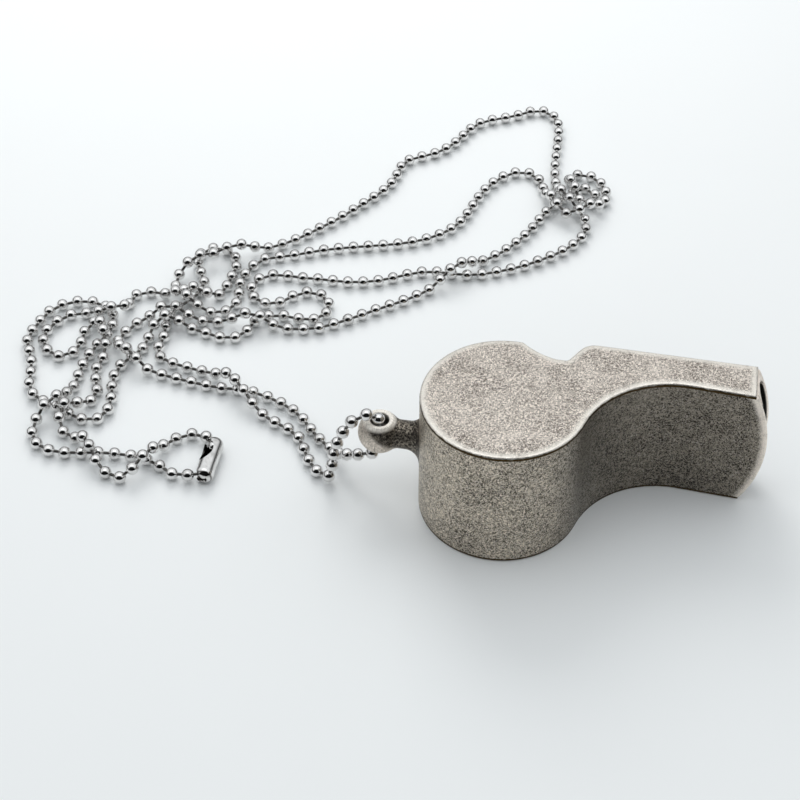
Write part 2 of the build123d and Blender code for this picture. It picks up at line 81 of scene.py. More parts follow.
# Route of the chain as in the part's source: x and y, and z where it isn't lying
LOW_LEFT_RUN = [
    (-0.04455, -0.00365, COUPLING_R), (-0.0469, -0.0045, 0.0014), (-0.0495, -0.0045),
    (-0.0519, -0.0028), (-0.0548, -0.0017), (-0.0585, -0.0016), (-0.062, -0.0018),
    (-0.0652, -0.0026), (-0.0685, -0.003), (-0.0713, -0.0023), (-0.0732, -0.0002),
    (-0.0736, 0.0025), (-0.0726, 0.005, OVER_Z), (-0.0707, 0.0076, OVER_Z), (-0.07, 0.0102),
    (-0.07, 0.013), (-0.0702, 0.016), (-0.0699, 0.019), (-0.0692, 0.022), (-0.068, 0.025),
    (-0.0682, 0.028),
]
OUTER_RING = [
    (-0.0696, 0.0306), (-0.072, 0.0318), (-0.075, 0.0318), (-0.0776, 0.0306), (-0.0796, 0.0284),
    (-0.0802, 0.0258), (-0.0809, 0.023), (-0.0809, 0.0205), (-0.0796, 0.0182), (-0.0785, 0.016),
    (-0.0778, 0.0136), (-0.0774, 0.0112), (-0.0762, 0.009), (-0.0744, 0.0075), (-0.0724, 0.0074),
    (-0.0703, 0.0062), (-0.068, 0.005), (-0.0656, 0.0044), (-0.0636, 0.0054), (-0.063, 0.0078),
    (-0.0634, 0.0104), (-0.0641, 0.013), (-0.0645, 0.0156), (-0.064, 0.0182), (-0.0628, 0.0202),
]
MIDDLE_S = [
    (-0.0617, 0.0216), (-0.0614, 0.024), (-0.0615, 0.0263), (-0.0606, 0.0277, OVER_Z),
    (-0.0586, 0.029, OVER_Z), (-0.056, 0.0284), (-0.0538, 0.028), (-0.0516, 0.0273),
    (-0.0492, 0.0268), (-0.047, 0.0275), (-0.0458, 0.0292), (-0.046, 0.0308), (-0.0448, 0.0324),
    (-0.0432, 0.0337), (-0.041, 0.0341), (-0.0386, 0.0337), (-0.0362, 0.03365),
    (-0.0344, 0.03475), (-0.0337, 0.0368), (-0.0343, 0.0391), (-0.0361, 0.0406),
    (-0.0383, 0.0407), (-0.0402, 0.0395), (-0.0415, 0.0377), (-0.0432, 0.0364), (-0.0455, 0.0365),
    (-0.0473, 0.0381), (-0.0479, 0.0404), (-0.0472, 0.0425), (-0.0455, 0.0439), (-0.043, 0.0442),
    (-0.04, 0.044), (-0.0365, 0.0443), (-0.033, 0.0442), (-0.0295, 0.0447), (-0.026, 0.046),
    (-0.0228, 0.0479), (-0.02, 0.0493), (-0.017, 0.0497), (-0.014, 0.0495), (-0.011, 0.0499),
    (-0.0075, 0.0514), (-0.004, 0.0533), (-0.001, 0.0555), (0.002, 0.058), (0.0046, 0.0609),
    (0.0062, 0.0643), (0.0062, 0.0675), (0.0048, 0.0699), (0.0023, 0.0718, OVER_Z),
    (0.0005, 0.0736, OVER_Z),
]
FAR_LOOP = [
    (-0.0002, 0.0762), (-0.0009, 0.0795), (-0.0012, 0.0825), (-0.0014, 0.0855), (-0.0015, 0.089),
    (-0.0017, 0.093), (-0.0022, 0.0965), (-0.0036, 0.0989), (-0.0056, 0.0998), (-0.0078, 0.0992),
    (-0.01, 0.0974), (-0.0126, 0.096), (-0.0154, 0.0948), (-0.0176, 0.0928), (-0.0189, 0.0898),
    (-0.0203, 0.0866), (-0.0224, 0.0836), (-0.025, 0.0818), (-0.0274, 0.0806), (-0.0288, 0.0786),
    (-0.0291, 0.0756), (-0.0297, 0.0722), (-0.0314, 0.069), (-0.0336, 0.0658), (-0.0358, 0.0626),
    (-0.038, 0.0597), (-0.0404, 0.057), (-0.0428, 0.0542), (-0.0455, 0.0519), (-0.0484, 0.0502),
    (-0.0509, 0.0489, OVER_Z), (-0.0542, 0.047, OVER_Z), (-0.0556, 0.0462, 0.0022),
    (-0.057, 0.0452, OVER_Z), (-0.0594, 0.0427, OVER_Z), (-0.0609, 0.04), (-0.0606, 0.0379),
]
MIDDLE_LOOPS = [
    (-0.059, 0.0369), (-0.0576, 0.0364, OVER_Z), (-0.0552, 0.0357, OVER_Z), (-0.0529, 0.0365),
    (-0.052, 0.0389), (-0.0519, 0.0414), (-0.0515, 0.044), (-0.0518, 0.0466), (-0.0534, 0.0488),
    (-0.0555, 0.0494), (-0.0576, 0.0488), (-0.0588, 0.0469), (-0.0583, 0.0444), (-0.057, 0.042),
    (-0.0558, 0.0398), (-0.0559, 0.0376), (-0.0569, 0.0355), (-0.058, 0.0341), (-0.0589, 0.0326),
]
EYE_STRAND_A = [
    (-0.0594, 0.031), (-0.0595, 0.0288), (-0.0593, 0.0268), (-0.0589, 0.025), (-0.0593, 0.0232),
    (-0.0589, 0.021), (-0.057, 0.0198), (-0.0542, 0.0192), (-0.0514, 0.0187), (-0.0486, 0.0182),
    (-0.046, 0.0171, OVER_Z), (-0.0428, 0.0138, OVER_Z), (-0.0396, 0.0109), (-0.0366, 0.0092),
    (-0.034, 0.0082), (-0.0321, 0.0067), (-0.0308, 0.004), (-0.0294, 0.0016), (-0.0276, -0.0003),
    (-0.026, -0.0009), (-0.0254, -0.0009, 0.003), (-0.0252, -0.001, 0.0055),
    (-0.0247, -0.0011, 0.0082), (-0.0237, -0.0011, 0.0112), (-0.0222, -0.0009, 0.0139),
    (-0.0202, -0.0004, 0.0151), (-0.0185, 0.0005, 0.0143), (-0.0183, 0.0007, 0.012),
]
EYE_STRAND_B = [
    (-0.0183, 0.0007, 0.0095), (-0.0184, 0.0007, 0.0072), (-0.0196, 0.0007, 0.0058),
    (-0.0218, 0.001, 0.0049), (-0.0242, 0.0024, 0.0031), (-0.026, 0.0042, 0.0014),
    (-0.0276, 0.0058), (-0.0294, 0.0072), (-0.031, 0.009), (-0.0324, 0.0108), (-0.0344, 0.0125),
    (-0.037, 0.0139), (-0.04, 0.015), (-0.0432, 0.0156), (-0.0464, 0.0153), (-0.0495, 0.0155),
    (-0.053, 0.016), (-0.0565, 0.0166), (-0.0595, 0.0171), (-0.0619, 0.0183, OVER_Z),
    (-0.0643, 0.0202, OVER_Z), (-0.066, 0.022), (-0.0662, 0.024), (-0.0653, 0.0262),
    (-0.064, 0.0284), (-0.0625, 0.0301),
]
LONG_RUN = [
    (-0.0607, 0.0309, OVER_Z), (-0.0579, 0.031, OVER_Z), (-0.0552, 0.0304), (-0.0524, 0.0303),
    (-0.0498, 0.0308), (-0.0475, 0.0311, OVER_Z), (-0.0445, 0.0315, OVER_Z), (-0.042, 0.0312),
    (-0.0394, 0.0309), (-0.0368, 0.0313), (-0.0341, 0.0322), (-0.0316, 0.0339), (-0.0288, 0.036),
    (-0.0258, 0.0384), (-0.0226, 0.0407), (-0.0196, 0.0432), (-0.0174, 0.0456),
    (-0.0156, 0.0478, OVER_Z), (-0.013, 0.051, OVER_Z), (-0.011, 0.0532), (-0.0086, 0.0554),
    (-0.0064, 0.058), (-0.0046, 0.061), (-0.003, 0.0643), (-0.0018, 0.068),
]
KNOT = [
    (-0.0005, 0.0709), (0.0011, 0.0728), (0.0024, 0.0752), (0.004, 0.0773), (0.0062, 0.077),
    (0.0071, 0.075), (0.0063, 0.0729), (0.0046, 0.0724), (0.0035, 0.0737, OVER_Z),
    (0.0021, 0.0769, OVER_Z), (0.0016, 0.0789), (0.0022, 0.0804), (0.0038, 0.0814),
    (0.0058, 0.0809), (0.0077, 0.0792), (0.009, 0.076), (0.0085, 0.0728),
    (0.0066, 0.0708, OVER_Z), (0.0046, 0.0682, OVER_Z), (0.0025, 0.0676, 0.0019),
    (0.0005, 0.0693, OVER_Z), (-0.0009, 0.0719, OVER_Z), (-0.0022, 0.0743),
]
BACK_RUN = [
    (-0.0029, 0.077), (-0.0042, 0.0793), (-0.0062, 0.0802), (-0.0084, 0.0797), (-0.0104, 0.0779),
    (-0.012, 0.0755), (-0.0133, 0.0726), (-0.0142, 0.0692), (-0.015, 0.0656), (-0.0164, 0.0623),
    (-0.0187, 0.0596), (-0.0218, 0.0574), (-0.0252, 0.0559), (-0.0288, 0.0548), (-0.0324, 0.0538),
    (-0.0358, 0.0527), (-0.039, 0.0515), (-0.042, 0.0499), (-0.0448, 0.0488), (-0.0472, 0.048),
    (-0.0486, 0.0465),
]
UPPER_LEFT = [
    (-0.0492, 0.0444), (-0.05, 0.0422), (-0.0499, 0.0399), (-0.0493, 0.0375), (-0.0493, 0.0352),
    (-0.0504, 0.0334), (-0.0524, 0.0325), (-0.0546, 0.033), (-0.0566, 0.0336, OVER_Z),
    (-0.0592, 0.035, OVER_Z), (-0.0616, 0.0357), (-0.064, 0.0361), (-0.066, 0.0355),
    (-0.0671, 0.0337), (-0.0669, 0.0316), (-0.0669, 0.0298, OVER_Z), (-0.0698, 0.0283, OVER_Z),
]
INNER_RING = [
    (-0.072, 0.0289), (-0.0742, 0.0288), (-0.0762, 0.0278), (-0.0777, 0.0258), (-0.0786, 0.0234),
    (-0.0783, 0.021), (-0.077, 0.019), (-0.075, 0.0178), (-0.0732, 0.0182), (-0.0721, 0.02),
    (-0.0719, 0.0223), (-0.0723, 0.0246), (-0.0718, 0.0264), (-0.0703, 0.0267, 0.0019),
    (-0.0695, 0.025, OVER_Z), (-0.0679, 0.0223, OVER_Z), (-0.0672, 0.0202),
]
TO_COUPLING = [
    (-0.0674, 0.0185), (-0.0678, 0.016), (-0.067, 0.0136), (-0.066, 0.0114), (-0.066, 0.0093),
    (-0.0672, 0.0077), (-0.0689, 0.0066, OVER_Z), (-0.0699, 0.0044, OVER_Z), (-0.0694, 0.0022),
    (-0.0678, 0.0008), (-0.066, 0.0004), (-0.0644, -0.0006, OVER_Z), (-0.0626, -0.0029, OVER_Z),
    (-0.0608, -0.005), (-0.0586, -0.0064), (-0.0562, -0.0064), (-0.0548, -0.0049, OVER_Z),
    (-0.0534, -0.0012, OVER_Z), (-0.0522, 0.0013), (-0.0507, 0.0035), (-0.0488, 0.0046),
    (-0.0463, 0.0045, 0.0014), (-0.04455, 0.0021, COUPLING_R),
]
ROUTE = (
    LOW_LEFT_RUN + OUTER_RING + MIDDLE_S + FAR_LOOP + MIDDLE_LOOPS + EYE_STRAND_A + EYE_STRAND_B
    + LONG_RUN + KNOT + BACK_RUN + UPPER_LEFT + INNER_RING + TO_COUPLING
)
CHAIN_NODES = [name for name in frame["nodes"] if name.startswith(("chain_balls", "chain_links"))]
PLATE_NODES = ("side_plate_upper", "side_plate_lower")
WALL_NODES = ("barrel_strip", "mouthpiece_roof", "mouth_cheek_upper", "mouth_cheek_lower")

# Where the finishes begin and end, in metres
PLATE_SIDE = (0.00022, 0.00036)  # below a plate's face, where its side begins
SEAM_DEPTH = 0.00042  # below a plate's face, middle of the solder line
BULGE_R = 0.0226  # the mouth end's bulge, round an axis along Y
BULGE_RUB = (BULGE_R - 0.0015, BULGE_R - 0.0004)  # from that axis, the rubbed mouth end
MOUTH_RUB = (MOUTH_X - 0.008, MOUTH_X - 0.005)  # along X, where the rubbing begins
# The throat's darkening is partly patina and partly painted shade
THROAT_DARK = (0.006, 0.0135)  # along X, where the wall darkens under the mouthpiece
BLACK_EDGE = (WINDWAY_HALF, WINDWAY_HALF + 0.00012)  # from the windway's middle, the edge of the near-black
BLACK_END = (WINDOW_X, WINDOW_X + 0.001)  # along X, where the near-black ends
BRASS_END = (WINDOW_X, WINDOW_X + 0.004)  # along X, where bare brass turns near-black
EYE_SLOPE = (0.0003, 0.0015)  # across the eye, from beige to charcoal plating
EYE_RING = (0.0022, 0.0027)  # from the hole's axis, outer edge of the bright ring
EYE_FACE = (0.0016, 0.0021)  # from the body's middle, the ring's two faces
EYE_BORE = (0.00135, 0.00145)  # from the hole's axis, painted shade in the hole
COUPLING_BORE = (0.0012, 0.0014)  # from its axis, painted shade inside
COUPLING_ENDS = (0.0037, 0.0039)  # from its middle, where the painted shade inside ends

# The worn rim's rings: share of the rim's width, and the wear at the ring's inner edge
WEAR_RINGS = ((0.4, 0.7), (0.6, 0.0))
WEAR_REACH = 0.8  # share of a plate's thickness that the wear reaches down its edge
FLAT_NORMAL = 0.9999  # least part along Z of a flat face's normal
MERGE_DISTANCE = 1e-6
SHARP_ANGLE = math.radians(35)

# The chain's units
BALL_RINGS, LINK_SIDES = 8, 6
POLE = 0.49  # height past which a vertex is a ball's pole, as a share of its diameter
LINK_SHADE = 0.85  # how much painted shade a link gets, from 0 to 1
LINK_SHORT = 0.85  # share of a ball's diameter by which a link is shorter than its step
DUST_STEP = 0.618  # even spread of dust from ball to ball

# The stage
FLOOR_DROP = 2e-5
FLOOR_SHADE = (0.80, 0.82, 0.83, 1.0)
KEY_PLACE, KEY_AIM, KEY_SIZE = Vector((-0.1, 0.25, 0.22)), Vector((-0.02, 0.02, 0.0)), 0.2
KEY_COLOUR = (1.0, 0.99, 0.97)
SKY_COLOUR = (0.96, 0.985, 1.0, 1.0)
PHOTOGRAPHER = Vector((0.164, -0.951, 0.259)).normalized()  # way to the dark patch in the surround
BACKDROP = 0.95  # brightness behind the floor
CAMERA_AIM = Vector((-0.018486, 0.018663, 0.0))


def shade(name, description, colour):
    """A colour that a user would change."""
    return FloatVectorProperty(
        name=name, description=description, default=colour, size=3, min=0, max=1, subtype="COLOR"
    )


def span(name, description, metres):
    """A length that a user would change."""
    return FloatProperty(
        name=name, description=description, default=metres, min=0, precision=5,
        subtype="DISTANCE", unit="LENGTH",
    )


def angle(name, description, degrees):
    """An angle that a user would change."""
    return FloatProperty(
        name=name, description=description, default=math.radians(degrees), subtype="ANGLE"
    )


class PlatingSettings(bpy.types.PropertyGroup):
    """Finish of the plated brass body."""

    plate_light: shade("Plate strokes", "Bright strokes in the side plates", (1.0, 0.91, 0.82))
    plate_dark: shade("Plate", "Tumbled plating of the side plates", (0.25, 0.212, 0.181))
    wall_light: shade("Wall strokes", "Bright strokes in the chamber wall", (0.85, 0.755, 0.62))
    wall_dark: shade("Wall", "Darker plating of the chamber wall", (0.055, 0.047, 0.037))
    eye_light: shade("Eye", "Plating of the lanyard eye", (0.55, 0.49, 0.42))
    eye_dark: shade("Eye neck", "Charcoal plating of the eye's neck", (0.05, 0.043, 0.037))
    worn: shade("Worn edge", "Plating rubbed bright along the edges", (1.0, 0.945, 0.86))
    seam: shade("Seam", "Solder line under the side plates", (0.055, 0.034, 0.012))
    # Near-black painted in the windway, in the eye's hole and its nicks, and under the mouthpiece
    near_black: shade("Mouth", "Black oxide left in the mouth and the window", (0.006, 0.006, 0.006))
    brass: shade("Brass", "Bare brass inside the windway", (0.35, 0.24, 0.10))
    rim: span("Rim", "Width of the worn rim of the side plates", 0.0008)
    seam_width: span("Seam width", "Half width of the solder line", 0.00028)
    stroke: span("Stroke", "Spacing of the tumbling strokes", 0.00046)


class ChainSettings(bpy.types.PropertyGroup):
    """Sizes and finish of the ball chain and its coupling."""

    ball: span("Ball", "Diameter of a ball", 0.002)
    pitch: span("Pitch", "Ball to ball along the chain", 0.002584)
    link: span("Link", "Diameter of a link", 0.0005)
    sides: IntProperty(
        name="Ball sides", description="Faces round a ball", default=12, min=6, max=16
    )
    steel: shade("Steel", "Polished nickel on the chain", (0.80, 0.79, 0.78))
    dull: shade("Dull steel", "Dusty nickel on the chain", (0.55, 0.54, 0.53))
    # Painted shade: near-black on the links, round the balls' poles and inside the coupling
    seat: shade("Seat", "Dirt where a link enters its ball", (0.06, 0.055, 0.05))


class PeaSettings(bpy.types.PropertyGroup):
    """Finish of the cork pea."""

    cork: shade("Cork", "Cut cork", (0.50, 0.30, 0.145))
    pits: shade("Pits", "Pits in the cork", (0.12, 0.06, 0.028))


class StageSettings(bpy.types.PropertyGroup):
    """Floor, light and camera."""

    floor: shade("Floor", "Semi-gloss white board", (0.86, 0.88, 0.885))
    floor_size: span("Floor size", "Side of the floor", 4.0)
    lens: FloatProperty(
        name="Lens", description="Focal length on a 36 mm sensor", default=81.0, min=10,
        unit="CAMERA",
    )
    distance: span("Distance", "Camera to the point it looks at", 0.28604)
    azimuth: angle("Azimuth", "Camera's turn from the whistle's front", 10.145)
    elevation: angle("Elevation", "Camera's angle above the floor", 44.21)
    key_power: FloatProperty(
        name="Key light", description="Power of the large soft light", default=0.38, min=0,
        unit="POWER",
    )
    sky: FloatProperty(
        name="Sky", description="Strength of the soft surround", default=0.94, min=0, max=4
    )


# Node helpers


def connect(tree, value, socket):
    """Links a socket to an input, or sets the input's value."""
    if isinstance(value, bpy.types.NodeSocket):
        tree.links.new(value, socket)
    else:
        socket.default_value = value


def add(tree, kind, *values, **settings):
    """Adds a node, sets its options, and links or sets its inputs in order."""
    made = tree.nodes.new("ShaderNode" + kind)
    for option, value in settings.items():
        setattr(made, option, value)
    for socket, value in zip(made.inputs, values):
        connect(tree, value, socket)
    return made


def maths(tree, operation, *values):
    """Output of a Math node."""
    return add(tree, "Math", *values, operation=operation).outputs[0]


def away(tree, value, middle):
    """How far a value is from a middle one."""
    return maths(tree, "ABSOLUTE", maths(tree, "SUBTRACT", value, middle))


def ramp(tree, value, low, high, start=0.0, end=1.0):
    """A value eased from start to end as it goes from low to high."""
    made = add(tree, "MapRange", value, low, high, start, end, interpolation_type="SMOOTHSTEP")
    return made.outputs[0]


def tint(tree, factor, first, second):
    """Mixes two colours, through the Mix node's sockets for colours."""
    made = add(tree, "Mix", factor, data_type="RGBA")
    connect(tree, first, made.inputs[6])
    connect(tree, second, made.inputs[7])
    return made.outputs[2]


def coordinate(tree, where, axis):
    """A place's X, Y or Z."""
    return add(tree, "SeparateXYZ", where).outputs[axis]


def from_axis(tree, where, centre, axis):
    """Distance from the line through centre along X, Y or Z."""
    offset = add(tree, "VectorMath", where, tuple(centre), operation="SUBTRACT").outputs[0]
    across = tuple(float(letter != axis) for letter in "XYZ")
    flat = add(tree, "VectorMath", offset, across, operation="MULTIPLY").outputs[0]
    return add(tree, "VectorMath", flat, operation="LENGTH").outputs["Value"]


def noise(tree, where, scale, detail=2.0, roughness=0.5, distortion=0.0, shift=None):
    """Noise value at a place, moved by shift so that two noises differ."""
    if shift:
        where = add(tree, "VectorMath", where, shift, operation="ADD").outputs[0]
    made = tree.nodes.new("ShaderNodeTexNoise")
    connect(tree, where, made.inputs["Vector"])
    connect(tree, scale, made.inputs["Scale"])
    made.inputs["Detail"].default_value = detail
    made.inputs["Roughness"].default_value = roughness
    made.inputs["Distortion"].default_value = distortion
    return made.outputs[0]


def attribute(tree, name):
    """Value of a piece's own attribute."""
    return add(tree, "Attribute", attribute_name=name).outputs["Fac"]


def rgba(colour):
    """A settings colour with full alpha."""
    return (*colour, 1.0)


def new_group(name, inputs, outputs):
    """An empty shader node group: returns its tree, what it is given and what it puts out."""
    tree = bpy.data.node_groups.new(name, "ShaderNodeTree")
    for side, sockets in (("INPUT", inputs), ("OUTPUT", outputs)):
        for label, kind in sockets.items():
            tree.interface.new_socket(label, in_out=side, socket_type="NodeSocket" + kind)
    return tree, tree.nodes.new("NodeGroupInput").outputs, tree.nodes.new("NodeGroupOutput").inputs


def use_group(tree, name, **values):
    """Places a node group, built at its first use, and links or sets its inputs by name."""
    made = tree.nodes.new("ShaderNodeGroup")
    made.node_tree = bpy.data.node_groups.get(name) or GROUPS[name]()
    for label, value in values.items():
        connect(tree, value, made.inputs[label])
    return made.outputs


# Effects that more than one finish uses


def dashes(tree, where, scale, shift):
    """Mask of thin curved strokes that run every way, along the noise's middle level."""
    level = noise(tree, where, scale, detail=1.0, distortion=0.6, shift=shift)
    return ramp(tree, away(tree, level, 0.5), 0.008, 0.056, 1.0, 0.0)


def tumbled_plating():
    """Node group: plating tumbled in grit, with thin strokes every way, nicks and a cloudy tone."""
    tree, given, put = new_group(
        "tumbled_plating",
        {
            "Vector": "Vector", "Stroke": "Float", "Depth": "Float", "Cloud": "Float",
            "Ground": "Color", "Strokes": "Color", "Nicks": "Color",
        },
        {"Color": "Color", "Roughness": "Float", "Height": "Float"},
    )
    where = given["Vector"]
    scale = maths(tree, "DIVIDE", 1.0, given["Stroke"])
    strokes = maths(
        tree, "MAXIMUM",
        dashes(tree, where, scale, (0.31, 0.17, 0.53)),
        dashes(tree, where, scale, (0.71, 0.43, 0.29)),
    )
    cloud = ramp(tree, noise(tree, where, 170.0, 4.0, 0.62, 0.3), 0.3, 0.72)
    cloud = maths(tree, "MULTIPLY", cloud, given["Cloud"])
    amount = maths(tree, "MULTIPLY_ADD", strokes, given["Depth"], cloud)
    amount.node.use_clamp = True
    fine = maths(tree, "MULTIPLY", scale, 2.5)
    fine = noise(tree, where, fine, detail=1.0, distortion=0.8, shift=(0.13, 0.87, 0.41))
    nicks = ramp(tree, fine, 0.58, 0.68)
    colour = tint(tree, amount, given["Ground"], given["Strokes"])
    colour = tint(tree, maths(tree, "MULTIPLY", nicks, 0.8), colour, given["Nicks"])
    connect(tree, colour, put["Color"])
    connect(tree, maths(tree, "MULTIPLY_ADD", strokes, -0.1, 0.44), put["Roughness"])
    connect(tree, maths(tree, "MULTIPLY_ADD", nicks, -0.5, strokes), put["Height"])
    return tree


def mouth_black():
    """Node group: mask of the windway between the roof sheet and the underside sheet."""
    tree, given, put = new_group("mouth_black", {"Vector": "Vector"}, {"Near Black": "Float"})
    where = given["Vector"]
    above = add(tree, "VectorMath", where, WINDWAY_UP, operation="DOT_PRODUCT").outputs["Value"]
    above = maths(tree, "SUBTRACT", above, WINDWAY_AT)
    beside = away(tree, coordinate(tree, where, "Z"), MIDDLE_Z)
    beside = maths(tree, "MAXIMUM", maths(tree, "SUBTRACT", beside, WINDWAY_ENDS), 0.0)
    beside = maths(tree, "MULTIPLY", beside, WINDWAY_END_FLAT)
    squares = [maths(tree, "POWER", side, 2.0) for side in (above, beside)]
    inside = ramp(tree, maths(tree, "SQRT", maths(tree, "ADD", *squares)), *BLACK_EDGE, 1.0, 0.0)
    ahead = ramp(tree, coordinate(tree, where, "X"), *BLACK_END)
    connect(tree, maths(tree, "MULTIPLY", inside, ahead), put["Near Black"])
    return tree


def polish_marks():
    """Node group: faint smears and fine scratches of polished nickel."""
    tree, given, put = new_group(
        "polish_marks",
        {"Vector": "Vector"},
        {"Smear": "Float", "Roughness": "Float", "Height": "Float"},
    )
    smear = ramp(tree, noise(tree, given["Vector"], 420.0, 3.0, 0.6, 0.5), 0.42, 0.75)
    connect(tree, smear, put["Smear"])
    connect(tree, maths(tree, "MULTIPLY_ADD", smear, 0.1, 0.07), put["Roughness"])
    connect(tree, noise(tree, given["Vector"], 5200.0, 2.0, 0.6, 1.0), put["Height"])
    return tree


GROUPS = {
    "tumbled_plating": tumbled_plating,
    "mouth_black": mouth_black,
    "polish_marks": polish_marks,
}


# Finishes


def start_material(name):
    """A new material: returns it, its tree, its Principled shader and Object coordinates."""
    material = bpy.data.materials.new(name)
    material.use_nodes = True
    tree = material.node_tree
    shader = next(n for n in tree.nodes if n.type == "BSDF_PRINCIPLED")
    return material, tree, shader, tree.nodes.new("ShaderNodeTexCoord").outputs["Object"]


def bump(tree, shader, height, strength, depth):
    """Lets a height shape the shader's normal."""
    made = tree.nodes.new("ShaderNodeBump")
    made.inputs["Strength"].default_value = strength
    made.inputs["Distance"].default_value = depth
    connect(tree, height, made.inputs["Height"])
    connect(tree, made.outputs[0], shader.inputs["Normal"])


def finish_metal(tree, shader, colour, roughness):
    """Links a metal's colour and roughness to its shader."""
    connect(tree, colour, shader.inputs["Base Color"])
    connect(tree, roughness, shader.inputs["Roughness"])
    shader.inputs["Metallic"].default_value = 1.0


def tumbled(tree, where, stroke, depth, cloud, ground, strokes, nicks):
    """Tumbled plating with its own spacing, depth of strokes, cloud and three colours."""
    return use_group(
        tree, "tumbled_plating", Vector=where, Stroke=stroke, Depth=depth, Cloud=cloud,
        Ground=rgba(ground), Strokes=rgba(strokes), Nicks=rgba(nicks),
    )


def plated_plate(look):
    """Side plates: light plating, strokes, a rubbed rim and the solder line under it."""
    material, tree, shader, where = start_material("plated_plate")
    face = tumbled(
        tree, where, look.stroke, 1.0, 0.45, look.plate_dark, look.plate_light, look.wall_dark
    )
    side = tumbled(
        tree, where, look.stroke, 0.9, 0.1, look.wall_dark, look.wall_light, look.plate_light
    )
    rub = ramp(tree, noise(tree, where, 700.0, 3.0, 0.6), 0.25, 0.5, 0.35, 0.95)
    rub = maths(tree, "MULTIPLY", attribute(tree, "wear"), rub)
    colour = tint(tree, rub, face["Color"], rgba(look.worn))
    below = away(tree, coordinate(tree, where, "Z"), MIDDLE_Z)
    below = maths(tree, "SUBTRACT", MIDDLE_Z, below)
    colour = tint(tree, ramp(tree, below, *PLATE_SIDE), colour, side["Color"])
    ragged = noise(tree, where, 900.0)
    ragged = maths(tree, "MULTIPLY_ADD", ragged, 1.2 * look.seam_width, 0.4 * look.seam_width)
    line = maths(tree, "DIVIDE", away(tree, below, SEAM_DEPTH), ragged)
    colour = tint(tree, ramp(tree, line, 0.6, 1.0, 1.0, 0.0), colour, rgba(look.seam))
    roughness = maths(tree, "MULTIPLY_ADD", rub, -0.08, face["Roughness"])
    finish_metal(tree, shader, colour, roughness)
    bump(tree, shader, face["Height"], strength=0.35, depth=0.00006)
    return material


def plated_wall(look):
    """Chamber wall and roof: darker plating, black inside the mouth and a rubbed mouth end."""
    material, tree, shader, where = start_material("plated_wall")
    plating = tumbled(
        tree, where, look.stroke, 0.76, 0.2, look.wall_dark, look.wall_light, look.plate_light
    )
    ahead = coordinate(tree, where, "X")
    bulge = from_axis(tree, where, (MOUTH_X - BULGE_R, 0.0, MIDDLE_Z), "Y")
    rubbed = ramp(tree, bulge, *BULGE_RUB)
    rubbed = maths(tree, "MULTIPLY", rubbed, ramp(tree, ahead, *MOUTH_RUB))
    lip = ramp(tree, noise(tree, where, 900.0, 3.0), 0.3, 0.6, 0.6, 0.85)
    lip = maths(tree, "MULTIPLY", rubbed, lip)
    colour = tint(tree, lip, plating["Color"], rgba(look.plate_light))
    # Darker patina and painted shade in the throat and under the mouthpiece
    hollow = ramp(tree, ahead, *THROAT_DARK, 0.0, 0.5)
    hollow = maths(tree, "MULTIPLY", hollow, maths(tree, "SUBTRACT", 1.0, rubbed))
    colour = tint(tree, hollow, colour, rgba(look.near_black))
    # Near-black inside the windway, from the window to the mouth
    near_black = use_group(tree, "mouth_black", Vector=where)["Near Black"]
    finish_metal(tree, shader, tint(tree, near_black, colour, rgba(look.near_black)), plating["Roughness"])
    bump(tree, shader, plating["Height"], strength=0.35, depth=0.00006)
    return material


def plated_eye(look):
    """Lanyard eye: charcoal and beige plating with a bright ring rubbed round the hole."""
    material, tree, shader, where = start_material("plated_eye")
    beige = tumbled(
        tree, where, look.stroke, 0.7, 0.2, look.eye_light, look.plate_light, look.wall_dark
    )
    charcoal = tumbled(
        tree, where, look.stroke * 1.2, 0.62, -0.4, look.eye_dark, look.wall_light, look.near_black
    )
    height = maths(tree, "SUBTRACT", coordinate(tree, where, "Z"), MIDDLE_Z)
    slope = maths(tree, "SUBTRACT", coordinate(tree, where, "X"), EYE_PLACE[0])
    slope = maths(tree, "MULTIPLY_ADD", slope, 0.8, height)
    colour = tint(tree, ramp(tree, slope, *EYE_SLOPE), beige["Color"], charcoal["Color"])
    apart = from_axis(tree, where, EYE_PLACE, "Z")
    ring = ramp(tree, apart, *EYE_RING, 1.0, 0.0)
    ring = maths(tree, "MULTIPLY", ring, ramp(tree, maths(tree, "ABSOLUTE", height), *EYE_FACE))
    patchy = ramp(tree, noise(tree, where, 800.0, 3.0), 0.2, 0.45, 0.75, 1.0)
    ring = maths(tree, "MULTIPLY", ring, patchy)
    colour = tint(tree, ring, colour, rgba(look.worn))
    # Painted shade: near-black inside the hole
    colour = tint(tree, ramp(tree, apart, *EYE_BORE, 1.0, 0.0), colour, rgba(look.near_black))
    roughness = maths(tree, "MULTIPLY_ADD", ring, -0.1, beige["Roughness"])
    finish_metal(tree, shader, colour, roughness)
    connect(tree, maths(tree, "MULTIPLY_ADD", ring, -0.65, 1.0), shader.inputs["Metallic"])
    bump(tree, shader, beige["Height"], strength=0.4, depth=0.00008)
    return material


def windway_brass(look):
    """Bare brass of the windway floor, dulled by breath."""
    material, tree, shader, where = start_material("windway_brass")
    brass = tumbled(
        tree, where, look.stroke * 1.6, 0.6, 0.5, look.brass, look.seam, look.wall_light
    )
    deep = ramp(tree, coordinate(tree, where, "X"), *BRASS_END)
    colour = tint(tree, deep, brass["Color"], rgba(look.near_black))
    finish_metal(tree, shader, colour, brass["Roughness"])
    bump(tree, shader, brass["Height"], strength=0.3, depth=0.00005)
    return material


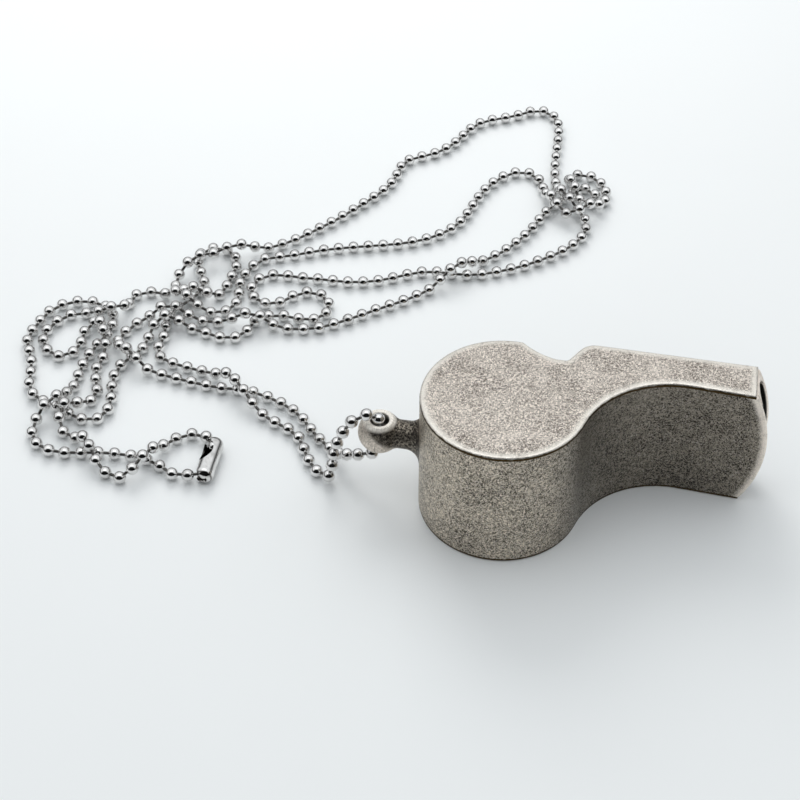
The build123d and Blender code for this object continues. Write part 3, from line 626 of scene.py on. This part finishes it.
def pea_cork(look):
    """Cut cork with pits and darker cells."""
    material, tree, shader, where = start_material("pea_cork")
    cells = tree.nodes.new("ShaderNodeTexVoronoi")
    connect(tree, where, cells.inputs["Vector"])
    cells.inputs["Scale"].default_value = 1400.0
    pits = ramp(tree, noise(tree, where, 620.0, 3.0, 0.6, 0.6), 0.55, 0.68)
    fleck = ramp(tree, cells.outputs["Distance"], 0.1, 0.6, 0.45, 0.0)
    amount = maths(tree, "MAXIMUM", pits, fleck)
    colour = tint(tree, amount, rgba(look.cork), rgba(look.pits))
    connect(tree, colour, shader.inputs["Base Color"])
    connect(tree, maths(tree, "MULTIPLY_ADD", amount, 0.12, 0.78), shader.inputs["Roughness"])
    bump(tree, shader, maths(tree, "SUBTRACT", 1.0, amount), strength=0.6, depth=0.00012)
    return material


def chain_nickel(look):
    """Polished nickel of the balls and links, with painted shade on the links and their seats."""
    material, tree, shader, where = start_material("chain_nickel")
    marks = use_group(tree, "polish_marks", Vector=where)
    dulled = maths(tree, "MULTIPLY", marks["Smear"], attribute(tree, "dust"))
    colour = tint(tree, dulled, rgba(look.steel), rgba(look.dull))
    # Painted shade on the links and round the poles where they go into the balls
    seat_shade = ramp(tree, attribute(tree, "seat"), 0.35, 0.95)
    finish_metal(tree, shader, tint(tree, seat_shade, colour, rgba(look.seat)), marks["Roughness"])
    bump(tree, shader, marks["Height"], strength=0.05, depth=0.00002)
    return material


def coupling_nickel(look):
    """Polished nickel of the coupling, with painted shade inside its mouth and slits."""
    material, tree, shader, where = start_material("coupling_nickel")
    marks = use_group(tree, "polish_marks", Vector=where)
    first, last = ROUTE[0], ROUTE[-1]
    bore = from_axis(tree, where, (first[0], 0.0, COUPLING_R), "Y")
    along = away(tree, coordinate(tree, where, "Y"), (first[1] + last[1]) / 2)
    # Painted shade on the tube's inner face, away from its ends
    inside = maths(
        tree, "MULTIPLY",
        ramp(tree, bore, *COUPLING_BORE, 1.0, 0.0),
        ramp(tree, along, *COUPLING_ENDS, 1.0, 0.0),
    )
    colour = tint(tree, marks["Smear"], rgba(look.steel), rgba(look.dull))
    finish_metal(tree, shader, tint(tree, inside, colour, rgba(look.seat)), marks["Roughness"])
    bump(tree, shader, marks["Height"], strength=0.08, depth=0.00003)
    return material


# Pieces


def dress(node, material):
    """Gives a CAD node, which keeps its mesh, its finish."""
    piece = frame["nodes"][node]
    piece.data.materials.clear()
    piece.data.materials.append(material)
    return piece


def to_mesh(name, bm):
    """Turns a bmesh into a mesh."""
    mesh = bpy.data.meshes.new(name)
    bm.to_mesh(mesh)
    bm.free()
    return mesh


def keep_mesh(name, bm, material):
    """Turns a bmesh into a shown piece with a material."""
    mesh = to_mesh(name, bm)
    mesh.materials.append(material)
    piece = bpy.data.objects.new(name, mesh)
    bpy.context.scene.collection.objects.link(piece)
    return piece


def worn_plate(node, rim, material):
    """A side plate with rings along its edge that carry the wear, in place of its CAD node."""
    bm = bmesh.new()
    bm.from_mesh(frame["nodes"][node].data)
    bmesh.ops.remove_doubles(bm, verts=bm.verts, dist=MERGE_DISTANCE)
    wear = bm.verts.layers.float.new("wear")
    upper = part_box(node)[0][2] > MIDDLE_Z
    face_z, out = (BODY_WIDTH, 1.0) if upper else (0.0, -1.0)
    for vert in bm.verts:
        if abs(vert.co.z - face_z) < WEAR_REACH * PLATE_T:
            vert[wear] = 1.0
    outer = [
        face for face in bm.faces
        if face.normal.z * out > FLAT_NORMAL
        and abs(face.calc_center_median().z - face_z) < MERGE_DISTANCE
    ]
    flat = bmesh.ops.dissolve_faces(bm, faces=outer, use_verts=False)["region"]
    for width, amount in WEAR_RINGS:
        bmesh.ops.inset_region(
            bm, faces=flat, thickness=width * rim, use_even_offset=True, use_boundary=True
        )
        for face in flat:
            for vert in face.verts:
                vert[wear] = amount
    bmesh.ops.triangulate(bm, faces=flat)
    for edge in bm.edges:
        edge.smooth = len(edge.link_faces) == 2 and edge.calc_face_angle() < SHARP_ANGLE
    for face in bm.faces:
        face.smooth = True
    piece = keep_mesh("worn_" + node, bm, material)
    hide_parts(node)
    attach(piece, "whistle")


def chain_line():
    """Points along the chain, read from the route's spline."""
    curve = bpy.data.curves.new("chain_route", "CURVE")
    curve.dimensions = "3D"
    spline = curve.splines.new("NURBS")
    spline.points.add(len(ROUTE) - 1)
    for point, place in zip(spline.points, ROUTE):
        point.co = (*place[:2], place[2] if len(place) == 3 else FLOOR_Z, 1.0)
    spline.order_u = 3
    spline.use_endpoint_u = True
    spline.resolution_u = 16
    holder = bpy.data.objects.new("chain_route", curve)
    mesh = bpy.data.meshes.new_from_object(holder)
    points = [vert.co.copy() for vert in mesh.vertices]
    bpy.data.objects.remove(holder)
    bpy.data.meshes.remove(mesh)
    bpy.data.curves.remove(curve)
    return points


def evenly(points, pitch):
    """Places at even steps of about the pitch along a line of points, and the line's length."""
    steps = [(b - a).length for a, b in zip(points, points[1:])]
    total = sum(steps)
    spaces = round(total / pitch)
    places, done, k = [], 0.0, 0
    for i in range(spaces + 1):
        wanted = total * i / spaces
        while k < len(steps) - 1 and done + steps[k] < wanted:
            done += steps[k]
            k += 1
        places.append(points[k].lerp(points[k + 1], (wanted - done) / steps[k]))
    return places, total


def start_unit():
    """A bmesh for a ball or link with the chain's attributes: returns it and its seat layer."""
    bm = bmesh.new()
    seat = bm.verts.layers.float.new("seat")
    bm.verts.layers.float.new("dust")
    return bm, seat


def unit_ball(look):
    """One ball of the chain at the origin, with painted shade where its links go in along Z."""
    bm, seat = start_unit()
    bmesh.ops.create_uvsphere(
        bm, u_segments=look.sides, v_segments=BALL_RINGS, radius=look.ball / 2
    )
    for vert in bm.verts:
        vert[seat] = abs(vert.co.z) > POLE * look.ball
    return to_mesh("ball", bm)


def unit_link(look):
    """One link of the chain along Z at the origin, a metre long."""
    bm, seat = start_unit()
    bmesh.ops.create_cone(
        bm, cap_ends=False, segments=LINK_SIDES, depth=1.0,
        radius1=look.link / 2, radius2=look.link / 2,
    )
    # Every vertex of a link gets painted shade
    for vert in bm.verts:
        vert[seat] = LINK_SHADE
    return to_mesh("link", bm)


def string(bm, unit, place, way, length, dusty):
    """Adds a ball or link to the chain at a place, with Z turned along the chain."""
    turn = way.to_track_quat("Z", "Y").to_matrix().to_4x4()
    mesh = unit.copy()
    mesh.transform(Matrix.Translation(place) @ turn @ Matrix.Diagonal((1.0, 1.0, length, 1.0)))
    mesh.attributes["dust"].data.foreach_set("value", [dusty] * len(mesh.vertices))
    bm.from_mesh(mesh)
    bpy.data.meshes.remove(mesh)


class WHISTLE_OT_chain(bpy.types.Operator):
    """Strings the balls and links of the neck chain along its route"""

    bl_idname = "whistle.chain"
    bl_label = "Neck chain"

    def execute(self, context):
        look = context.scene.whistle_chain
        line = chain_line()
        centres, length = evenly(line, look.pitch)
        ball, link = unit_ball(look), unit_link(look)
        bm = bmesh.new()
        for i, centre in enumerate(centres):
            way = centres[min(i + 1, len(centres) - 1)] - centres[max(i - 1, 0)]
            string(bm, ball, centre, way, 1.0, (i * DUST_STEP) % 1.0)
        for first, second in zip(centres, centres[1:]):
            way = second - first
            string(bm, link, (first + second) / 2, way, way.length - LINK_SHORT * look.ball, 0.0)
        bpy.data.meshes.remove(ball)
        bpy.data.meshes.remove(link)
        for face in bm.faces:
            face.smooth = True
        chain = keep_mesh("neck_chain_balls", bm, chain_nickel(look))
        coupling = dress("chain_coupling", coupling_nickel(look))
        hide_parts(*CHAIN_NODES)
        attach(chain, "neck_chain")
        return {"FINISHED"}


class WHISTLE_OT_side_plates(bpy.types.Operator):
    """Gives both side plates their tumbled plating and rubbed rims"""

    bl_idname = "whistle.side_plates"
    bl_label = "Side plates"

    def execute(self, context):
        look = context.scene.whistle_plating
        material = plated_plate(look)
        for node in PLATE_NODES:
            worn_plate(node, look.rim, material)
        return {"FINISHED"}


class WHISTLE_OT_walls(bpy.types.Operator):
    """Plates the chamber wall, roof and cheeks, and dulls the brass in the windway"""

    bl_idname = "whistle.walls"
    bl_label = "Wall, roof and windway floor"

    def execute(self, context):
        look = context.scene.whistle_plating
        wall = plated_wall(look)
        for node in WALL_NODES:
            dress(node, wall)
        dress("windway_floor", windway_brass(look))
        return {"FINISHED"}


class WHISTLE_OT_eye(bpy.types.Operator):
    """Plates the lanyard eye and rubs a bright ring round its hole"""

    bl_idname = "whistle.eye"
    bl_label = "Lanyard eye"

    def execute(self, context):
        dress("lanyard_eye", plated_eye(context.scene.whistle_plating))
        return {"FINISHED"}


class WHISTLE_OT_pea(bpy.types.Operator):
    """Makes the pea of cork"""

    bl_idname = "whistle.pea"
    bl_label = "Cork pea"

    def execute(self, context):
        dress("pea", pea_cork(context.scene.whistle_pea))
        return {"FINISHED"}


class WHISTLE_OT_stage(bpy.types.Operator):
    """Lays the pale floor and sets the soft light, the surround and the camera"""

    bl_idname = "whistle.stage"
    bl_label = "Stage"

    def execute(self, context):
        look = context.scene.whistle_stage
        lay_floor(look)
        hang_light(look)
        wrap_surround(context.scene, look)
        place_camera(context.scene, look)
        context.scene.view_settings.view_transform = "Standard"
        return {"FINISHED"}


# Stage


def lay_floor(look):
    """Semi-gloss white board just under the chain."""
    material, tree, shader, where = start_material("white_board")
    tone = ramp(tree, noise(tree, where, 60.0, 3.0), 0.3, 0.7, 0.0, 0.06)
    colour = tint(tree, tone, rgba(look.floor), FLOOR_SHADE)
    roughness = maths(tree, "MULTIPLY_ADD", noise(tree, where, 240.0, 3.0), 0.1, 0.3)
    connect(tree, colour, shader.inputs["Base Color"])
    connect(tree, roughness, shader.inputs["Roughness"])
    shader.inputs["Specular IOR Level"].default_value = 0.35
    bm = bmesh.new()
    bmesh.ops.create_grid(
        bm, x_segments=8, y_segments=8, size=look.floor_size / 2,
        matrix=Matrix.Translation((0, 0, -FLOOR_DROP)),
    )
    keep_mesh("floor", bm, material)


def hang_light(look):
    """Large soft light above, behind and to the left."""
    lamp = bpy.data.lights.new("soft_key", "AREA")
    lamp.shape = "DISK"
    lamp.size = KEY_SIZE
    lamp.energy = look.key_power
    lamp.color = KEY_COLOUR
    key = bpy.data.objects.new("soft_key", lamp)
    key.location = KEY_PLACE
    key.rotation_euler = (KEY_PLACE - KEY_AIM).to_track_quat("Z", "Y").to_euler()
    key.visible_glossy = False
    bpy.context.scene.collection.objects.link(key)


def wrap_surround(scene, look):
    """Pale surround, brightest overhead and dark where the photographer stands."""
    world = bpy.data.worlds.new("surround")
    scene.world = world
    world.use_nodes = True
    tree = world.node_tree
    back = next(n for n in tree.nodes if n.type == "BACKGROUND")
    way = tree.nodes.new("ShaderNodeTexCoord").outputs["Generated"]
    path = tree.nodes.new("ShaderNodeLightPath").outputs
    height = coordinate(tree, way, "Z")
    walls = ramp(tree, height, 0.12, 0.58, 0.08, 1.0)
    ceiling = maths(tree, "ADD", walls, ramp(tree, height, 0.8, 0.98, 0.0, 0.6))
    facing = add(tree, "VectorMath", way, tuple(PHOTOGRAPHER), operation="DOT_PRODUCT")
    front = ramp(tree, facing.outputs["Value"], 0.42, 0.62, 1.0, 0.01)
    fill = maths(tree, "MULTIPLY", path["Is Diffuse Ray"], 0.55)
    light = maths(tree, "MULTIPLY", ceiling, maths(tree, "MAXIMUM", front, fill))
    light = maths(tree, "MULTIPLY", light, look.sky)
    seen = maths(tree, "MULTIPLY", path["Is Camera Ray"], BACKDROP)
    back.inputs["Color"].default_value = SKY_COLOUR
    connect(tree, maths(tree, "MAXIMUM", light, seen), back.inputs["Strength"])


def place_camera(scene, look):
    """Camera at the photograph's angle."""
    lens = bpy.data.cameras.new("camera")
    lens.lens = look.lens
    lens.sensor_width = 36.0
    lens.clip_start = 0.01
    camera = bpy.data.objects.new("camera", lens)
    back = Vector(
        (
            math.sin(look.azimuth) * math.cos(look.elevation),
            -math.cos(look.azimuth) * math.cos(look.elevation),
            math.sin(look.elevation),
        )
    )
    camera.location = CAMERA_AIM + look.distance * back
    camera.rotation_euler = back.to_track_quat("Z", "Y").to_euler()
    scene.collection.objects.link(camera)
    scene.camera = camera


class WHISTLE_PT_build(bpy.types.Panel):
    """Lists the whistle's settings and pieces in the 3D view's sidebar"""

    bl_idname = "WHISTLE_PT_build"
    bl_label = "Whistle"
    bl_space_type = "VIEW_3D"
    bl_region_type = "UI"
    bl_category = "Whistle"

    def draw(self, context):
        for settings in SETTINGS:
            box = self.layout.box()
            group = getattr(context.scene, settings)
            for name in group.bl_rna.properties.keys():
                if name not in ("rna_type", "name"):
                    box.prop(group, name)
        for operator in OPERATORS:
            self.layout.operator(operator.bl_idname)


SETTINGS = {
    "whistle_plating": PlatingSettings,
    "whistle_chain": ChainSettings,
    "whistle_pea": PeaSettings,
    "whistle_stage": StageSettings,
}
OPERATORS = (
    WHISTLE_OT_stage,
    WHISTLE_OT_chain,
    WHISTLE_OT_side_plates,
    WHISTLE_OT_walls,
    WHISTLE_OT_eye,
    WHISTLE_OT_pea,
)


def register():
    """Adds the classes and their settings to Blender."""
    for group in SETTINGS.values():
        bpy.utils.register_class(group)
    for operator in OPERATORS:
        bpy.utils.register_class(operator)
    bpy.utils.register_class(WHISTLE_PT_build)
    for name, group in SETTINGS.items():
        setattr(bpy.types.Scene, name, PointerProperty(type=group))


def unregister():
    """Takes the classes and their settings out of Blender."""
    for name in SETTINGS:
        delattr(bpy.types.Scene, name)
    bpy.utils.unregister_class(WHISTLE_PT_build)
    for operator in reversed(OPERATORS):
        bpy.utils.unregister_class(operator)
    for group in reversed(SETTINGS.values()):
        bpy.utils.unregister_class(group)


def main():
    """Builds every piece and the stage."""
    register()
    bpy.ops.whistle.stage()
    bpy.ops.whistle.chain()
    bpy.ops.whistle.side_plates()
    bpy.ops.whistle.walls()
    bpy.ops.whistle.eye()
    bpy.ops.whistle.pea()


if __name__ == "__main__":
    main()
